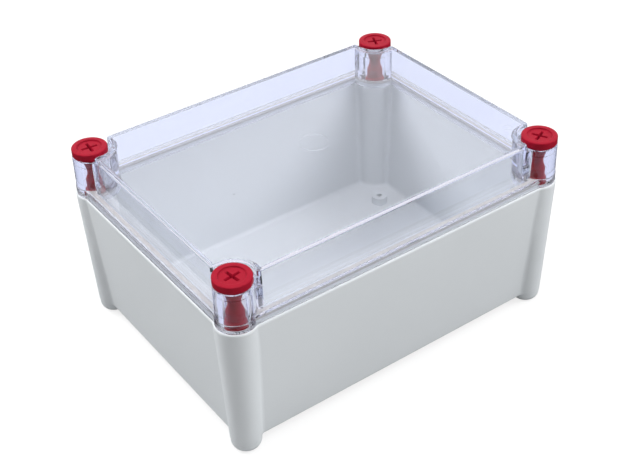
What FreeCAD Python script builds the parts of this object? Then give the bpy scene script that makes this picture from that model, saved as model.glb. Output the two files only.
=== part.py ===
"""Electrical distribution box: light grey moulded base and clear raised lid, held by four captive screws.

Millimetres. The origin is the middle of the underside, where the feet stand. X runs along the long side,
Y along the short side and Z up. The four screw axes are the driving lines of the box: walls, rims and seal
are given by how far they lie outside the lines that join the screw axes, and the round corner posts about
those axes by how far they stand out of the walls.
"""
import FreeCAD, Part
import math
import os
from enum import IntEnum
import Sketcher

DIMENSIONS = (
    ("screw_pitch_long", 170.0, "between screw axes along X"),
    ("screw_pitch_short", 123.0, "between screw axes along Y"),
    ("base_height", 72.1, "underside of the feet to the shelf that carries the lid"),
    ("foot_height", 4.6, "how far the corner posts stand below the floor"),
    ("foot_rounding", 4.2, "edge radius under a foot"),
    ("wall_flare_top", 8.3, "outer wall face outside the screw lines, at the shelf"),
    ("wall_flare_bottom", 3.8, "the same at the underside of the floor"),
    ("wall_corner", 7.0, "upright corners of the walls, which the posts cover"),
    ("bottom_rounding", 2.0, "edge radius round the underside of the floor"),
    ("post_rise_top", 1.4, "how far a corner post stands out of the walls, at the shelf"),
    ("post_rise_bottom", 3.45, "the same at the underside of the floor"),
    ("foot_step", 0.1, "how far a foot stays inside the post above it"),
    ("foot_draft", 0.25, "how much narrower a foot is at its underside"),
    ("post_blend", 3.0, "hollow radius between post and wall"),
    ("rim_rounding", 1.1, "rounded edge that shows below the lid"),
    ("floor_thickness", 2.5, "floor of the base"),
    ("cavity_flare_top", 4.0, "inner wall face outside the screw lines, at the shelf"),
    ("cavity_flare_bottom", 0.2, "the same at the floor"),
    ("column_radius_top", 9.5, "inner side of a corner column at the shelf"),
    ("column_radius_bottom", 10.2, "inner side of a corner column at the floor"),
    ("cavity_rounding", 2.2, "edges of the columns, and the hollow round the floor"),
    ("tongue_height", 1.4, "raised rim that presses on the seal"),
    ("tongue_width", 1.8, "thickness of the raised rim"),
    ("thread_bore_depth", 15.5, "threaded length of a post bore, below the shelf"),
    ("core_radius", 3.1, "narrow core below the thread"),
    ("foot_floor", 4.0, "closed end of a post at its foot"),
    ("boss_pitch_long", 143.4, "between floor bosses along X"),
    ("boss_pitch_short", 80.8, "between floor bosses along Y"),
    ("boss_radius", 4.3, "floor boss at its foot"),
    ("boss_draft", 0.15, "how much narrower a boss is at its top"),
    ("boss_height", 4.2, "floor boss above the floor"),
    ("boss_pilot_radius", 1.45, "pilot hole for a tapping screw"),
    ("boss_pilot_depth", 5.6, "depth of the pilot hole"),
    ("lid_height", 23.8, "shelf to the top of the lid panel"),
    ("ledge_height", 4.6, "shelf to the top of the lid flange"),
    ("ledge_rounding", 0.7, "edge radius of the flange"),
    ("flange_inset", 0.6, "how far the flange stays inside the rim below it"),
    ("lid_flare_bottom", 3.6, "outer face of the lid wall outside the screw lines, at the shelf"),
    ("lid_flare_top", 3.2, "the same at the panel"),
    ("lid_wall", 2.0, "thickness of the lid walls"),
    ("panel_thickness", 2.2, "thickness of the lid panel"),
    ("panel_rounding", 0.9, "edge radius of the panel"),
    ("space_rounding", 0.7, "hollow radius inside, between panel and walls"),
    ("panel_corner", 1.6, "upright edges beside the screw recesses"),
    ("tower_step", 0.2, "how far a tower stays inside the flange below it"),
    ("recess_step", 1.5, "how far the recess for a head lies outside the tower below it"),
    ("tower_blend", 1.2, "hollow radius between a tower and the lid wall"),
    ("tower_draft", 0.25, "how much narrower a tower is at the screw seat"),
    ("seal_gap", 0.3, "running gap between the raised rim and the groove of the lid"),
    ("seal_side_gap", 0.1, "gap between the seal and the sides of its groove"),
    ("seal_thickness", 1.5, "height of the seal"),
    ("tower_bore_radius", 5.4, "bore of a lid tower, which the thread passes"),
    ("collar_depth", 4.3, "collar below the seat, which keeps the screw in the lid"),
    ("collar_radius", 4.8, "hole through the collar"),
    ("countersink_radius", 5.1, "collar at the seat"),
    ("countersink_depth", 0.6, "depth of the countersink"),
    ("ring_radius", 7.4, "moulded ring under the middle of the panel"),
    ("ring_width", 0.8, "width of that ring"),
    ("ring_height", 0.15, "height of that ring"),
    ("head_radius", 8.5, "screw head"),
    ("head_height", 4.1, "screw head, seat to top"),
    ("head_top_rounding", 0.5, "upper edge of the head"),
    ("head_foot_rounding", 1.1, "lower edge of the head"),
    ("dish_radius", 6.0, "sunk disc in the head"),
    ("dish_depth", 0.6, "depth of the sunk disc"),
    ("dish_bevel", 0.25, "slope of its edge"),
    ("cross_span", 7.8, "tip to tip of the cross recess"),
    ("cross_width", 1.3, "arm of the cross recess"),
    ("cross_depth", 3.0, "depth of the cross recess"),
    ("cross_taper", 0.55, "size of the cross at its bottom, against its mouth"),
    ("neck_radius", 4.7, "screw right below the head"),
    ("neck_length", 7.0, "cone below the head"),
    ("waist_radius", 2.9, "narrowest place of the shank"),
    ("waist_length", 2.6, "straight length of the waist"),
    ("flare_length", 2.8, "cone from the waist to the shank"),
    ("shank_radius", 4.1, "shank above the thread"),
    ("thread_start", 16.6, "seat to the start of the thread"),
    ("thread_radius", 5.1, "outside of the thread"),
    ("thread_length", 14.6, "length of the thread"),
    ("thread_tip", 1.6, "bevel at the end of the thread"),
    ("thread_clearance", 0.05, "thread in the bore of the post"),
    ("waist_rounding", 6.0, "hollow radii at both ends of the waist"),
    ("front_turn", 7.0, "turn of the cross recess, front corner, in degrees"),
    ("left_turn", 85.0, "the same, left corner"),
    ("right_turn", 24.0, "the same, right corner"),
    ("back_turn", 67.0, "the same, back corner"),
)

FLOOR_LEVEL = "Dims.foot_height + Dims.floor_thickness"
SEAT_LEVEL = "Dims.base_height + Dims.lid_height - Dims.head_height"
PANEL_LEVEL = "Dims.base_height + Dims.lid_height"
WALL_HEIGHT = "(Dims.base_height - Dims.foot_height)"
POST_TOP = "(Dims.wall_flare_top + Dims.post_rise_top)"
POST_BOTTOM = "(Dims.wall_flare_bottom + Dims.post_rise_bottom)"
TOWER_RADIUS = f"({POST_TOP} - Dims.flange_inset - Dims.tower_step)"
NOTCH_RADIUS = f"({TOWER_RADIUS} + Dims.recess_step)"
CORNERS = ((-1, -1), (1, -1), (1, 1), (-1, 1))
SCREW_PITCHES = ("Dims.screw_pitch_long", "Dims.screw_pitch_short")
BOSS_PITCHES = ("Dims.boss_pitch_long", "Dims.boss_pitch_short")
GROOVE_OUTER = ("(Dims.cavity_flare_top + Dims.tongue_width + Dims.seal_gap)",
                "(Dims.column_radius_top - Dims.tongue_width - Dims.seal_gap)")
GROOVE_INNER = ("(Dims.cavity_flare_top - Dims.seal_gap)", "(Dims.column_radius_top + Dims.seal_gap)")
SCREWS = (("front", -1, -1), ("left", -1, 1), ("right", 1, -1), ("back", 1, 1))
SIDES = len(CORNERS)
QUARTER_TURN = math.pi / 2
LOBE_TURN = 3 * math.pi / 4
UPWARD = FreeCAD.Vector(0, 0, 1)
TOUCH = 0.02


class Spot(IntEnum):
    """Points of a sketch element that a constraint can hold."""

    START = 1
    END = 2
    CENTRE = 3


def make_sheet(doc):
    """Write the driving dimensions into the spreadsheet, each with its alias and its meaning."""
    sheet = doc.addObject("Spreadsheet::Sheet", "Dims")
    for row, (alias, value, meaning) in enumerate(DIMENSIONS, start=1):
        sheet.set(f"A{row}", alias)
        sheet.set(f"B{row}", str(value))
        sheet.set(f"C{row}", meaning)
        sheet.setAlias(f"B{row}", alias)
    doc.recompute()
    return sheet


def make_body(doc, name):
    """Add an empty body with its own label."""
    body = doc.addObject("PartDesign::Body", name)
    body.Label = name
    return body


def origin_plane(body, role):
    """Find one of the body's own origin planes by its role."""
    return next(item for item in body.Origin.OriginFeatures if item.Role == role)


def add_sketch(body, name, level="0", role="XY_Plane"):
    """Add a sketch on an origin plane of the body, raised to a level that is an expression."""
    sketch = body.newObject("Sketcher::SketchObject", name)
    sketch.AttachmentSupport = [(origin_plane(body, role), "")]
    sketch.MapMode = "FlatFace"
    if level != "0":
        sketch.setExpression(".AttachmentOffset.Base.z", level)
    return sketch


def bind(sketch, constraint, expression):
    """Add a constraint whose value follows an expression."""
    index = sketch.addConstraint(constraint)
    sketch.setExpression(f"Constraints[{index}]", expression)


def half_pitch(doc):
    """Half the distance between the screw axes along X and along Y."""
    sheet = doc.getObject("Dims")
    return sheet.screw_pitch_long / 2, sheet.screw_pitch_short / 2


def evaluate(doc, expression):
    """Value of an expression in the dimensions, for placing sketch geometry near where it will lie."""
    return float(doc.getObject("Dims").evalExpression(expression))


def draw_rectangle(sketch, half_x, half_y):
    """Draw an upright rectangle about the origin of the sketch and return its sides."""
    corners = [FreeCAD.Vector(sx * half_x, sy * half_y, 0) for sx, sy in CORNERS]
    sides = []
    for i in range(SIDES):
        sides.append(sketch.addGeometry(Part.LineSegment(corners[i], corners[(i + 1) % SIDES])))
    for i in range(SIDES):
        following = sides[(i + 1) % SIDES]
        sketch.addConstraint(Sketcher.Constraint("Coincident", sides[i], Spot.END, following, Spot.START))
    lay_sides(sketch, sides)
    return sides


def lay_sides(sketch, sides):
    """Keep the four sides of an outline along X and Y, the first one along X."""
    for i, way in enumerate(("Horizontal", "Vertical", "Horizontal", "Vertical")):
        sketch.addConstraint(Sketcher.Constraint(way, sides[i]))


def add_rectangle(sketch, flare):
    """Draw the rectangle that lies the flare outside the lines between the screw axes."""
    doc = sketch.Document
    half_x, half_y = half_pitch(doc)
    out = evaluate(doc, flare)
    sides = draw_rectangle(sketch, half_x + out, half_y + out)
    hold_sides(sketch, sides, flare, half_x + out, half_y + out)


def add_bay(sketch, flare, radius):
    """Draw an outline clear of the screws: straight sides, and a hollow arc round each screw axis."""
    doc = sketch.Document
    half_x, half_y = half_pitch(doc)
    out = evaluate(doc, flare)
    size = evaluate(doc, radius)
    lean = math.asin(out / size)
    arcs = []
    for quarter, (sx, sy) in enumerate(CORNERS):
        axis = FreeCAD.Vector(sx * half_x, sy * half_y, 0)
        low = quarter * QUARTER_TURN - lean
        circle = Part.Circle(axis, UPWARD, size)
        arc = Part.ArcOfCircle(circle, low, low + QUARTER_TURN + 2 * lean)
        arcs.append(sketch.addGeometry(arc))
    sides = []
    for i in range(SIDES):
        this, following = sketch.Geometry[arcs[i]], sketch.Geometry[arcs[(i + 1) % SIDES]]
        sides.append(sketch.addGeometry(Part.LineSegment(this.StartPoint, following.EndPoint)))
    for i in range(SIDES):
        sketch.addConstraint(Sketcher.Constraint("Coincident", sides[i], Spot.START, arcs[i], Spot.START))
        following = arcs[(i + 1) % SIDES]
        sketch.addConstraint(Sketcher.Constraint("Coincident", sides[i], Spot.END, following, Spot.END))
    lay_sides(sketch, sides)
    for arc in arcs[1:]:
        sketch.addConstraint(Sketcher.Constraint("Equal", arcs[0], arc))
    bind(sketch, Sketcher.Constraint("Radius", arcs[0], size), radius)
    for i, (sx, sy) in enumerate(CORNERS):
        hold_centre(sketch, arcs[i], sx, sy, half_x, half_y)
    hold_sides(sketch, sides, flare, half_x + out, half_y + out)


def add_lobed(sketch, flare, radius, blend):
    """Draw an outline round the screws: straight sides, lobes about the axes, hollow blends."""
    doc = sketch.Document
    half_x, half_y = half_pitch(doc)
    out, size, hollow = (evaluate(doc, value) for value in (flare, radius, blend))
    reach = math.sqrt((size + hollow) ** 2 - (out + hollow) ** 2)
    lean = math.atan2(out + hollow, reach)
    spread = LOBE_TURN - lean
    sides, lobes, before, after = [], [], [], []
    for quarter, (sx, sy) in enumerate(CORNERS):
        axis = FreeCAD.Vector(sx * half_x, sy * half_y, 0)
        outward = math.atan2(-1, -1) + quarter * QUARTER_TURN
        lobe = Part.Circle(axis, UPWARD, size)
        lobes.append(sketch.addGeometry(Part.ArcOfCircle(lobe, outward - spread, outward + spread)))
        for hollows, angle, way in ((before, outward - spread, -1), (after, outward + spread, 1)):
            centre = axis + FreeCAD.Vector(math.cos(angle), math.sin(angle), 0) * (size + hollow)
            toward_lobe = angle + math.pi
            toward_side = nearest_turn(outward - way * LOBE_TURN, toward_lobe)
            low, high = sorted((toward_lobe, toward_side))
            circle = Part.Circle(centre, UPWARD, hollow)
            hollows.append(sketch.addGeometry(Part.ArcOfCircle(circle, low, high)))
    for i in range(SIDES):
        first, last = sketch.Geometry[after[i]], sketch.Geometry[before[(i + 1) % SIDES]]
        sides.append(sketch.addGeometry(Part.LineSegment(first.StartPoint, last.EndPoint)))
    for i in range(SIDES):
        following = before[(i + 1) % SIDES]
        sketch.addConstraint(Sketcher.Constraint("Tangent", before[i], Spot.START, lobes[i], Spot.START))
        sketch.addConstraint(Sketcher.Constraint("Tangent", lobes[i], Spot.END, after[i], Spot.END))
        sketch.addConstraint(Sketcher.Constraint("Tangent", after[i], Spot.START, sides[i], Spot.START))
        sketch.addConstraint(Sketcher.Constraint("Tangent", sides[i], Spot.END, following, Spot.END))
    lay_sides(sketch, sides)
    for item in lobes[1:]:
        sketch.addConstraint(Sketcher.Constraint("Equal", lobes[0], item))
    for item in before[1:] + after:
        sketch.addConstraint(Sketcher.Constraint("Equal", before[0], item))
    bind(sketch, Sketcher.Constraint("Radius", lobes[0], size), radius)
    bind(sketch, Sketcher.Constraint("Radius", before[0], hollow), blend)
    for i, (sx, sy) in enumerate(CORNERS):
        hold_centre(sketch, lobes[i], sx, sy, half_x, half_y)
    hold_sides(sketch, sides, flare, half_x + out, half_y + out)


def nearest_turn(angle, reference):
    """The same direction as an angle, written within half a turn of a reference."""
    return reference + (angle - reference + math.pi) % (2 * math.pi) - math.pi


def hold_sides(sketch, sides, flare, out_x, out_y):
    """Hold the four sides of an outline the flare outside the screw lines."""
    half_long = f"Dims.screw_pitch_long / 2 + {flare}"
    half_short = f"Dims.screw_pitch_short / 2 + {flare}"
    bind(sketch, Sketcher.Constraint("DistanceY", sides[0], Spot.START, -1, 1, out_y), half_short)
    bind(sketch, Sketcher.Constraint("DistanceX", -1, 1, sides[1], Spot.START, out_x), half_long)
    bind(sketch, Sketcher.Constraint("DistanceY", -1, 1, sides[2], Spot.START, out_y), half_short)
    bind(sketch, Sketcher.Constraint("DistanceX", sides[3], Spot.START, -1, 1, out_x), half_long)


def hold_centre(sketch, item, sx, sy, half_x, half_y, pitches=SCREW_PITCHES):
    """Hold the centre of a circle or arc at a corner of a rectangular pattern."""
    if sx < 0:
        along = Sketcher.Constraint("DistanceX", item, Spot.CENTRE, -1, 1, half_x)
    else:
        along = Sketcher.Constraint("DistanceX", -1, 1, item, Spot.CENTRE, half_x)
    if sy < 0:
        across = Sketcher.Constraint("DistanceY", item, Spot.CENTRE, -1, 1, half_y)
    else:
        across = Sketcher.Constraint("DistanceY", -1, 1, item, Spot.CENTRE, half_y)
    bind(sketch, along, f"{pitches[0]} / 2")
    bind(sketch, across, f"{pitches[1]} / 2")


def add_circles(sketch, radius, pitches=SCREW_PITCHES):
    """Draw a circle of one radius at each corner of a rectangular pattern, at first that of the screws."""
    doc = sketch.Document
    half_x, half_y = (evaluate(doc, f"{pitch} / 2") for pitch in pitches)
    size = evaluate(doc, radius)
    items = []
    for sx, sy in CORNERS:
        axis = FreeCAD.Vector(sx * half_x, sy * half_y, 0)
        item = sketch.addGeometry(Part.Circle(axis, UPWARD, size))
        hold_centre(sketch, item, sx, sy, half_x, half_y, pitches)
        items.append(item)
    for item in items[1:]:
        sketch.addConstraint(Sketcher.Constraint("Equal", items[0], item))
    bind(sketch, Sketcher.Constraint("Radius", items[0], size), radius)


def add_pad(body, name, sketch, length, down=False):
    """Pad a sketch by a length that is an expression."""
    pad = body.newObject("PartDesign::Pad", name)
    pad.Profile = sketch
    pad.Reversed = down
    pad.setExpression("Length", length)
    return pad


def add_pocket(body, name, sketch, depth, up=False):
    """Cut a sketch downwards, or upwards, to a depth that is an expression."""
    pocket = body.newObject("PartDesign::Pocket", name)
    pocket.Profile = sketch
    pocket.Reversed = up
    pocket.setExpression("Length", depth)
    return pocket


def add_rounding(body, name, base, edges, radius):
    """Round the named edges of a feature with a radius that is an expression."""
    fillet = body.newObject("PartDesign::Fillet", name)
    fillet.Base = (base, edges)
    fillet.setExpression("Radius", radius)
    return fillet


def edge_names(feature, wanted):
    """Names of the edges of a feature that a test picks."""
    return [f"Edge{i}" for i, edge in enumerate(feature.Shape.Edges, start=1) if wanted(edge)]


def middle(edge):
    """Point halfway along an edge."""
    first, last = edge.ParameterRange
    return edge.valueAt((first + last) / 2)


def is_level(edge, level):
    """Whether an edge lies in the horizontal plane at a level."""
    points = (edge.firstVertex().Point, middle(edge), edge.lastVertex().Point)
    return all(abs(point.z - level) < TOUCH for point in points)


def lies_within(edge, doc, flare):
    """Whether an edge lies no further out than a flare outside the screw lines."""
    half_x, half_y = half_pitch(doc)
    point = middle(edge)
    return abs(point.x) < half_x + flare + TOUCH and abs(point.y) < half_y + flare + TOUCH


def rises(edge, least):
    """Whether an edge climbs by at least a height."""
    return abs(edge.firstVertex().Point.z - edge.lastVertex().Point.z) > least


def add_profile(sketch, points):
    """Draw a closed profile through points that are pairs of expressions, all of them bound to it."""
    doc = sketch.Document
    values = [FreeCAD.Vector(evaluate(doc, x), evaluate(doc, y), 0) for x, y in points]
    count = len(values)
    for i in range(count):
        sketch.addGeometry(Part.LineSegment(values[i], values[(i + 1) % count]))
    for i in range(count):
        sketch.addConstraint(Sketcher.Constraint("Coincident", i, Spot.END, (i + 1) % count, Spot.START))
    for i, (x, y) in enumerate(points):
        hold_point(sketch, i, x, values[i].x, "X")
        hold_point(sketch, i, y, values[i].y, "Y")


def hold_point(sketch, item, expression, value, way):
    """Bind one coordinate of the start of a line to an expression, on its own side of the origin."""
    if expression == "0":
        axis = -2 if way == "X" else -1
        sketch.addConstraint(Sketcher.Constraint("PointOnObject", item, Spot.START, axis))
    elif value < 0:
        down = Sketcher.Constraint(f"Distance{way}", item, Spot.START, -1, 1, -value)
        bind(sketch, down, f"-({expression})")
    else:
        bind(sketch, Sketcher.Constraint(f"Distance{way}", -1, 1, item, Spot.START, value), expression)


def draft(narrow, wide, height):
    """Expression of the taper angle that takes a face from one offset to another over a height."""
    return f"atan(({wide} - {narrow}) / ({height}))"


def add_block(body, name, level, flare, height, taper=None):
    """Pad the rectangle of a flare from a level, with a drafted side where a taper is given."""
    outline = add_sketch(body, f"{name}Outline", level)
    add_rectangle(outline, flare)
    block = add_pad(body, name, outline, height)
    if taper:
        block.setExpression("TaperAngle", taper)
    body.Document.recompute()
    return block


def add_studs(body, name, level, radius, height, taper=None, pitches=SCREW_PITCHES):
    """Pad four round studs from a level."""
    outline = add_sketch(body, f"{name}Outline", level)
    add_circles(outline, radius, pitches)
    studs = add_pad(body, name, outline, height)
    if taper:
        studs.setExpression("TaperAngle", taper)
    body.Document.recompute()
    return studs


def add_bores(body, name, level, radius, depth, up=False, taper=None, pitches=SCREW_PITCHES):
    """Cut four round bores from a level."""
    outline = add_sketch(body, f"{name}Outline", level)
    add_circles(outline, radius, pitches)
    bores = add_pocket(body, name, outline, depth, up)
    if taper:
        bores.setExpression("TaperAngle", taper)
    body.Document.recompute()
    return bores


def round_edges(body, name, base, wanted, radius):
    """Round the edges of a feature that a test picks."""
    rounded = add_rounding(body, name, base, edge_names(base, wanted), radius)
    body.Document.recompute()
    return rounded


def make_base_outside(body):
    """Outside of the base: drafted walls, corner posts, hollow blends, rounded rims, and the feet."""
    doc = body.Document
    floor = evaluate(doc, "Dims.foot_height")
    shelf = evaluate(doc, "Dims.base_height")
    wall_draft = draft("Dims.wall_flare_bottom", "Dims.wall_flare_top", WALL_HEIGHT)
    post_draft = draft(POST_BOTTOM, POST_TOP, WALL_HEIGHT)
    walls = add_block(body, "Walls", "Dims.foot_height", "Dims.wall_flare_bottom", WALL_HEIGHT, wall_draft)
    round_edges(body, "WallCorners", walls, lambda edge: rises(edge, shelf / 2), "Dims.wall_corner")
    posts = add_studs(body, "Posts", "Dims.foot_height", POST_BOTTOM, WALL_HEIGHT, post_draft)
    blends = round_edges(body, "PostBlends", posts, lambda edge: rises(edge, shelf / 2), "Dims.post_blend")
    rim = round_edges(body, "RimRounding", blends, lambda edge: is_level(edge, shelf), "Dims.rim_rounding")
    round_edges(body, "FloorRounding", rim, lambda edge: is_level(edge, floor), "Dims.bottom_rounding")
    feet = add_studs(body, "Feet", "0", f"{POST_BOTTOM} - Dims.foot_step - Dims.foot_draft",
                     "Dims.foot_height + Dims.bottom_rounding",
                     draft("0", "Dims.foot_draft", "Dims.foot_height + Dims.bottom_rounding"))
    round_edges(body, "FootRounding", feet, lambda edge: is_level(edge, 0), "Dims.foot_rounding")


def make_base_inside(body):
    """Inside of the base: raised rim, and the drafted cavity that leaves a round column in each corner."""
    doc = body.Document
    rim = add_sketch(body, "TongueOutline", "Dims.base_height")
    add_bay(rim, "(Dims.cavity_flare_top + Dims.tongue_width)",
            "(Dims.column_radius_top - Dims.tongue_width)")
    add_pad(body, "Tongue", rim, "Dims.tongue_height")
    floor = add_sketch(body, "CavityFloor", FLOOR_LEVEL)
    add_bay(floor, "Dims.cavity_flare_bottom", "Dims.column_radius_bottom")
    mouth = add_sketch(body, "CavityMouth", "Dims.base_height + Dims.tongue_height")
    add_bay(mouth, "Dims.cavity_flare_top", "Dims.column_radius_top")
    cavity = body.newObject("PartDesign::SubtractiveLoft", "Cavity")
    cavity.Profile = mouth
    cavity.Sections = [floor]
    cavity.Ruled = True
    doc.recompute()
    depth = evaluate(doc, "Dims.base_height / 2")
    level = evaluate(doc, FLOOR_LEVEL)
    wall = evaluate(doc, "Dims.cavity_flare_top")

    def faces_cavity(edge):
        """Whether an edge is a corner of the cavity wall or runs round its floor."""
        return is_level(edge, level) or (rises(edge, depth) and lies_within(edge, doc, wall))

    round_edges(body, "CavityRounding", cavity, faces_cavity, "Dims.cavity_rounding")


def make_base(doc):
    """Grey moulded base: walls, posts, cavity, rim, screw bores and floor bosses."""
    body = make_body(doc, "base")
    make_base_outside(body)
    make_base_inside(body)
    bore = "Dims.thread_radius + Dims.thread_clearance"
    add_bores(body, "ThreadBores", "Dims.base_height", bore, "Dims.thread_bore_depth")
    add_bores(body, "Cores", "Dims.base_height", "Dims.core_radius", "Dims.base_height - Dims.foot_floor")
    boss_draft = draft("Dims.boss_draft", "0", "Dims.boss_height")
    add_studs(body, "Bosses", FLOOR_LEVEL, "Dims.boss_radius", "Dims.boss_height", boss_draft, BOSS_PITCHES)
    add_bores(body, "Pilots", f"{FLOOR_LEVEL} + Dims.boss_height", "Dims.boss_pilot_radius",
              "Dims.boss_pilot_depth", pitches=BOSS_PITCHES)
    return body


def make_lid_outside(body):
    """Outside of the lid: raised panel, drafted walls, flange, screw towers and recesses for the heads."""
    doc = body.Document
    ledge = evaluate(doc, "Dims.base_height + Dims.ledge_height")
    seat = evaluate(doc, SEAT_LEVEL)
    top = evaluate(doc, PANEL_LEVEL)
    outline = add_sketch(body, "FlangeOutline", "Dims.base_height")
    add_lobed(outline, "(Dims.wall_flare_top - Dims.flange_inset)",
              f"({POST_TOP} - Dims.flange_inset)", "Dims.post_blend")
    flange = add_pad(body, "Flange", outline, "Dims.ledge_height")
    doc.recompute()
    round_edges(body, "LedgeRounding", flange, lambda edge: is_level(edge, ledge), "Dims.ledge_rounding")
    tower_draft = draft("Dims.tower_draft", "0", "Dims.lid_height - Dims.head_height")
    add_studs(body, "Towers", "Dims.base_height", TOWER_RADIUS, "Dims.lid_height - Dims.head_height",
              tower_draft)
    wall_draft = draft("Dims.lid_flare_bottom", "Dims.lid_flare_top", "Dims.lid_height")
    add_block(body, "LidWalls", "Dims.base_height", "Dims.lid_flare_bottom", "Dims.lid_height", wall_draft)
    notches = add_bores(body, "Notches", SEAT_LEVEL, NOTCH_RADIUS, "Dims.head_height", up=True)
    corners = round_edges(body, "PanelCorners", notches, lambda edge: joins(edge, seat, top),
                          "Dims.panel_corner")
    panel = round_edges(body, "PanelRounding", corners, lambda edge: is_level(edge, top),
                        "Dims.panel_rounding")
    round_edges(body, "TowerBlends", panel, lambda edge: joins(edge, ledge, seat), "Dims.tower_blend")


def joins(edge, low, high):
    """Whether an edge climbs from one level to another."""
    heights = sorted((edge.firstVertex().Point.z, edge.lastVertex().Point.z))
    return abs(heights[0] - low) < TOUCH and abs(heights[1] - high) < TOUCH


def add_ring(body, kind, name, level, outer, inner, height, up=False):
    """Pad or cut the band between two outlines clear of the screws, each a pair (flare, radius)."""
    outline = add_sketch(body, f"{name}Outline", level)
    add_bay(outline, *outer)
    add_bay(outline, *inner)
    if kind == "Pad":
        return add_pad(body, name, outline, height)
    return add_pocket(body, name, outline, height, up)


def make_lid_inside(body):
    """Inside of the lid: raised space, seal groove, tower bores with their collars, and the panel ring."""
    doc = body.Document
    space = add_sketch(body, "SpaceOutline", "Dims.base_height")
    add_bay(space, "(Dims.lid_flare_bottom - Dims.lid_wall)", f"({NOTCH_RADIUS} + Dims.lid_wall)")
    hollow = add_pocket(body, "Space", space, "Dims.lid_height - Dims.panel_thickness", up=True)
    doc.recompute()
    ceiling = evaluate(doc, f"{PANEL_LEVEL} - Dims.panel_thickness")
    round_edges(body, "SpaceRounding", hollow, lambda edge: is_level(edge, ceiling), "Dims.space_rounding")
    groove = add_ring(body, "Pocket", "SealGroove", "Dims.base_height", GROOVE_OUTER, GROOVE_INNER,
                      "Dims.tongue_height + Dims.seal_thickness", up=True)
    doc.recompute()
    low = evaluate(doc, "Dims.base_height")
    high = evaluate(doc, "Dims.base_height + Dims.tongue_height + Dims.seal_thickness")
    wall = evaluate(doc, GROOVE_INNER[0])

    def faces_cavity_corner(edge):
        """Whether an edge of the inner side of the groove stands before a rounded corner of the cavity."""
        return joins(edge, low, high) and lies_within(edge, doc, wall)

    round_edges(body, "GrooveCorners", groove, faces_cavity_corner, "Dims.cavity_rounding + Dims.seal_gap")
    add_bores(body, "TowerBores", "Dims.base_height", "Dims.tower_bore_radius",
              "Dims.lid_height - Dims.head_height - Dims.collar_depth", up=True)
    add_bores(body, "Collars", SEAT_LEVEL, "Dims.collar_radius", "Dims.collar_depth")
    narrowing = draft("Dims.countersink_radius", "Dims.collar_radius", "Dims.countersink_depth")
    add_bores(body, "Countersinks", SEAT_LEVEL, "Dims.countersink_radius", "Dims.countersink_depth",
              taper=narrowing)
    ring = add_sketch(body, "PanelRingOutline", f"{PANEL_LEVEL} - Dims.panel_thickness")
    for radius in ("Dims.ring_radius", "Dims.ring_radius - Dims.ring_width"):
        item = ring.addGeometry(Part.Circle(FreeCAD.Vector(), UPWARD, evaluate(doc, radius)))
        ring.addConstraint(Sketcher.Constraint("Coincident", item, Spot.CENTRE, -1, 1))
        bind(ring, Sketcher.Constraint("Radius", item, evaluate(doc, radius)), radius)
    add_pad(body, "PanelRing", ring, "Dims.ring_height", down=True)


def make_lid(doc):
    """Clear moulded lid: raised panel, flange with the seal groove, and a screw tower in each corner."""
    body = make_body(doc, "lid")
    make_lid_outside(body)
    make_lid_inside(body)
    return body


def make_gasket(doc):
    """Seal in the groove of the lid: it passes each screw bore on the side of the wiring space."""
    body = make_body(doc, "lid_gasket")
    add_ring(body, "Pad", "Seal", "Dims.base_height + Dims.tongue_height",
             (f"({GROOVE_OUTER[0]} - Dims.seal_side_gap)", f"({GROOVE_OUTER[1]} + Dims.seal_side_gap)"),
             (f"({GROOVE_INNER[0]} + Dims.seal_side_gap)", f"({GROOVE_INNER[1]} - Dims.seal_side_gap)"),
             "Dims.seal_thickness")
    return body


def add_slot(sketch, length, width):
    """Draw a rectangle about the origin of the sketch."""
    half_x = evaluate(sketch.Document, f"{length} / 2")
    half_y = evaluate(sketch.Document, f"{width} / 2")
    low, side, high, _ = draw_rectangle(sketch, half_x, half_y)
    sketch.addConstraint(Sketcher.Constraint("Symmetric", low, Spot.START, high, Spot.START, -1, 1))
    bind(sketch, Sketcher.Constraint("DistanceX", low, Spot.START, low, Spot.END, 2 * half_x), length)
    bind(sketch, Sketcher.Constraint("DistanceY", side, Spot.START, side, Spot.END, 2 * half_y), width)


def cut_cross(body):
    """Sink the tapered cross recess into the dish of the head, one arm after the other."""
    mouth = "Dims.head_height - Dims.dish_depth"
    sizes = (("Dims.cross_span", "Dims.cross_width"), ("Dims.cross_width", "Dims.cross_span"))
    for name, (length, width) in zip(("ArmAlong", "ArmAcross"), sizes):
        upper = add_sketch(body, f"{name}Mouth", mouth)
        add_slot(upper, length, width)
        lower = add_sketch(body, f"{name}Bottom", f"{mouth} - Dims.cross_depth")
        add_slot(lower, f"{length} * Dims.cross_taper", f"{width} * Dims.cross_taper")
        arm = body.newObject("PartDesign::SubtractiveLoft", name)
        arm.Profile = upper
        arm.Sections = [lower]
        arm.Ruled = True


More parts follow.
